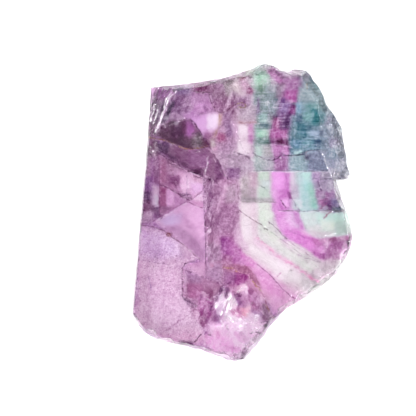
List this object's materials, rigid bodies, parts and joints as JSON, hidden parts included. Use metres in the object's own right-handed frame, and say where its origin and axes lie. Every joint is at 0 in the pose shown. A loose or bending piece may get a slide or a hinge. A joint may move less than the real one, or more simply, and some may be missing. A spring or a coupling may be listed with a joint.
{
  "type": "fluorite slab",
  "caption": "Hand-sized slab of clear banded fluorite with flat faces, a straight cleaved side, hackly broken edges, ledges and a notch.",
  "frame": {"origin": "under the middle of the slab, on the plane that its back rests on", "axes": "+Z leaves the front face, +Y runs along the long side, +X across the width towards the notched side"},
  "size_m": [0.062, 0.0838, 0.011],
  "materials": {
    "fluorite": "clear crystal, purple with pale green, magenta and teal growth bands, polished faces and broken edges"
  },
  "bodies": {
    "root": {"fluorite_slab": "fluorite"}
  },
  "joints": []
}
